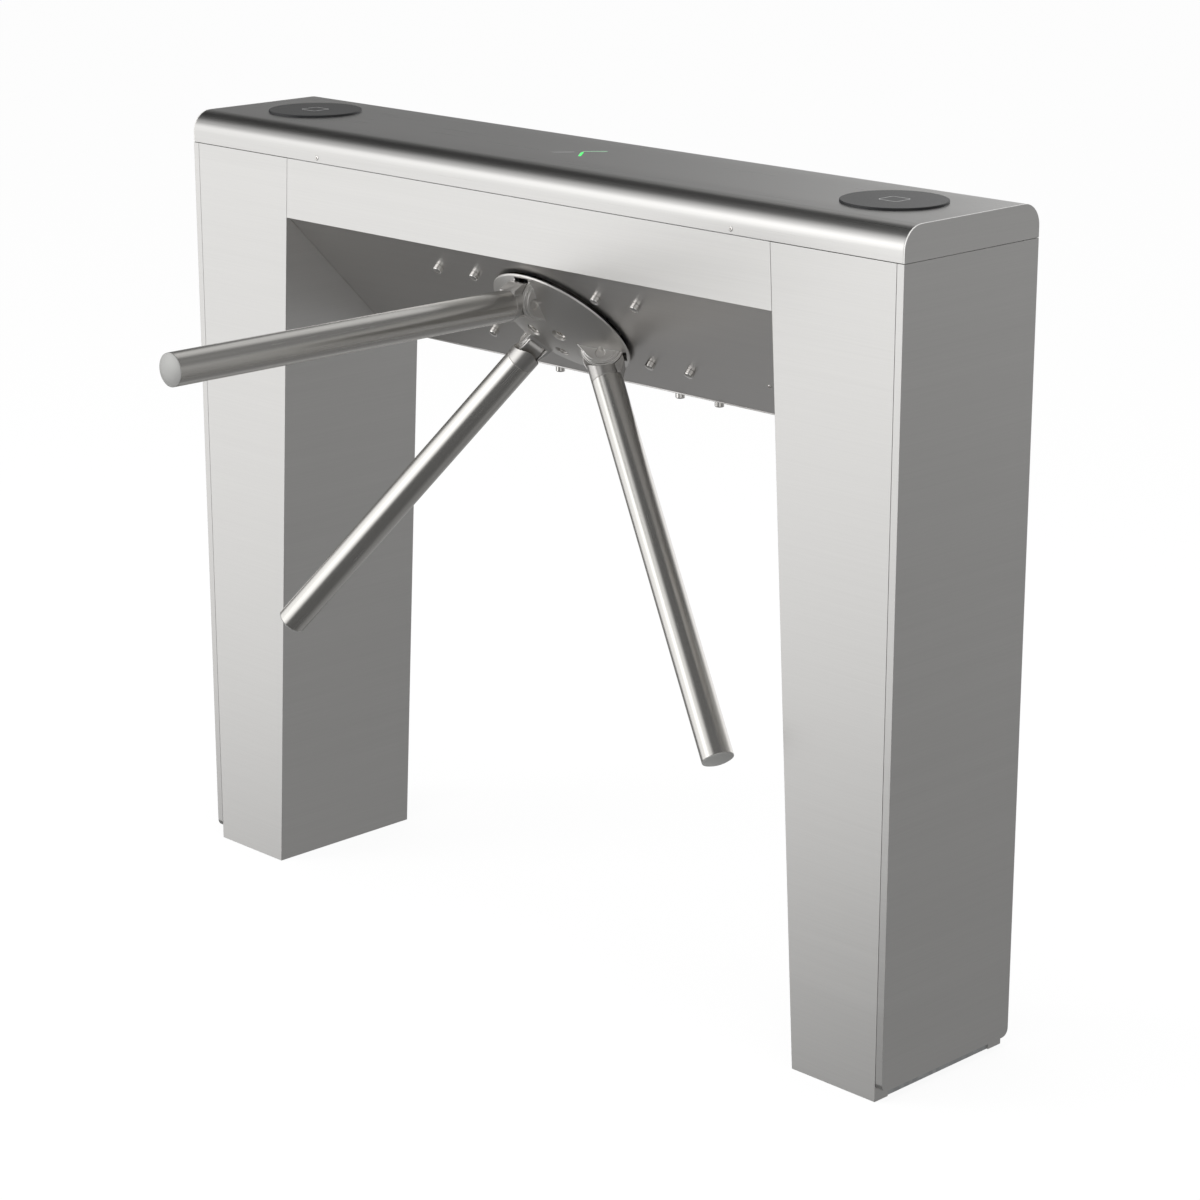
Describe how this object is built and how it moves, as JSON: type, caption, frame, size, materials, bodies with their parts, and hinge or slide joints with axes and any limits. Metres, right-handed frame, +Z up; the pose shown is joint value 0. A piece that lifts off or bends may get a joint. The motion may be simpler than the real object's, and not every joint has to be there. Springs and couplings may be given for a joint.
{
  "type": "tripod turnstile",
  "caption": "Waist-high tripod turnstile: a bridge cabinet on two tapered legs, a sloped drive head with angled arms, readers in the lid.",
  "frame": {"origin": "on the floor at the centre of the cabinet and of its anchor holes", "axes": "+X along the cabinet, -Y the side the arms point to, +Z up"},
  "size_m": [1.2, 0.7341, 1.0005],
  "materials": {
    "brushed_stainless": "fine horizontal brushing, satin",
    "brushed_lid": "fine brushing, darker satin",
    "slope_stainless": "fine brushing, satin",
    "arm_tube_stainless": "turned, satin, lengthwise streaks",
    "cast_alloy": "matte blasted casting with bright machined rims",
    "cast_root": "machined casting, satin",
    "bolt_stainless": "polished",
    "machined_steel": "turned and ground",
    "plated_steel": "yellow zinc plating",
    "galvanised_steel": "galvanised",
    "housing_alloy": "cast, machined",
    "reader_plastic": "dark, smooth",
    "module_plastic": "black",
    "lens_plastic": "clear green and grey light window",
    "circuit_board": "green solder mask",
    "coil_winding": "taped winding",
    "damper_steel": "dark paint"
  },
  "bodies": {
    "cabinet": {"leg_left": "brushed_stainless", "leg_right": "brushed_stainless", "base_plates": "galvanised_steel", "end_cover_left": "brushed_stainless", "end_cover_right": "brushed_stainless", "cover_screws": "bolt_stainless", "front_fascia": "brushed_stainless", "slope_panel": "slope_stainless", "bottom_panel": "brushed_stainless", "back_panel": "brushed_stainless", "panel_screws": "bolt_stainless", "bridge_rails": "galvanised_steel", "panel_supports": "galvanised_steel", "lid": "brushed_lid", "lid_ends": "brushed_lid", "lid_screws": "bolt_stainless", "reader_disc_left": "reader_plastic", "reader_disc_right": "reader_plastic", "reader_module_left": "module_plastic", "reader_module_right": "module_plastic", "indicator_lens": "lens_plastic", "indicator_board": "circuit_board", "chassis_plate": "plated_steel", "chassis_spacers": "machined_steel", "chassis_brackets": "plated_steel", "head_bolts": "bolt_stainless", "head_nuts": "machined_steel", "bearing_housing": "housing_alloy", "housing_bolts": "machined_steel", "bearing_outer_rings": "machined_steel", "release_coil": "coil_winding", "pawl_pins": "machined_steel", "solenoids": "coil_winding", "damper": "damper_steel", "damper_bridge": "plated_steel", "sensor_board": "circuit_board", "controller_board": "circuit_board", "power_supply": "housing_alloy"},
    "rotor": {"bearing_inner_rings": "machined_steel", "main_shaft": "machined_steel", "shaft_sleeve": "machined_steel", "shaft_nuts": "machined_steel", "hub_casting": "cast_alloy", "hub_screws": "bolt_stainless", "lock_wheel": "machined_steel", "arm_pins": "bolt_stainless", "arm_root_left": "cast_root", "arm_root_right": "cast_root", "arm_tube_left": "arm_tube_stainless", "arm_tube_right": "arm_tube_stainless", "arm_tips_side": "arm_tube_stainless"},
    "drop_arm": {"arm_root_front": "cast_root", "arm_tube_front": "arm_tube_stainless", "arm_tip_front": "arm_tube_stainless"},
    "latch_ring": {"release_ring": "plated_steel"},
    "left_pawl": {"pawl_left": "machined_steel"},
    "right_pawl": {"pawl_right": "machined_steel"},
    "left_plunger": {"plunger_left": "machined_steel"},
    "right_plunger": {"plunger_right": "machined_steel"}
  },
  "joints": [
    {"name": "head_turn", "type": "hinge", "parent": "cabinet", "child": "rotor", "pos_m": [0, -0.02704, 0.8], "axis": [0, -0.7071, -0.7071], "continuous": true},
    {"name": "arm_drop", "type": "hinge", "parent": "rotor", "child": "drop_arm", "pos_m": [0, -0.09141, 0.82963], "axis": [1, 0, 0], "range_deg": [0, 90]},
    {"name": "latch_slide", "type": "slide", "parent": "rotor", "child": "latch_ring", "axis": [0, -0.7071, -0.7071], "range_m": [0, 0.008], "stiffness_N_per_m": 400, "springref_m": -0.012},
    {"name": "pawl_left_swing", "type": "hinge", "parent": "cabinet", "child": "left_pawl", "pos_m": [-0.074, 0.0861, 0.8396], "axis": [0, 0.7071, 0.7071], "range_deg": [0, 8.3], "stiffness_Nm_per_rad": 0.5, "springref_deg": -20.05},
    {"name": "pawl_right_swing", "type": "hinge", "parent": "cabinet", "child": "right_pawl", "pos_m": [0.074, 0.0861, 0.8396], "axis": [0, -0.7071, -0.7071], "range_deg": [0, 8.3], "stiffness_Nm_per_rad": 0.5, "springref_deg": -20.05},
    {"name": "plunger_left_slide", "type": "slide", "parent": "cabinet", "child": "left_plunger", "axis": [1, 0, 0], "range_m": [0, 0.0125]},
    {"name": "plunger_right_slide", "type": "slide", "parent": "cabinet", "child": "right_plunger", "axis": [-1, 0, 0], "range_m": [0, 0.0125]}
  ],
  "couplings": [
    {"joint": "plunger_left_slide", "follows": "pawl_left_swing", "m_per_rad": 0.086},
    {"joint": "plunger_right_slide", "follows": "pawl_right_swing", "m_per_rad": 0.086}
  ]
}
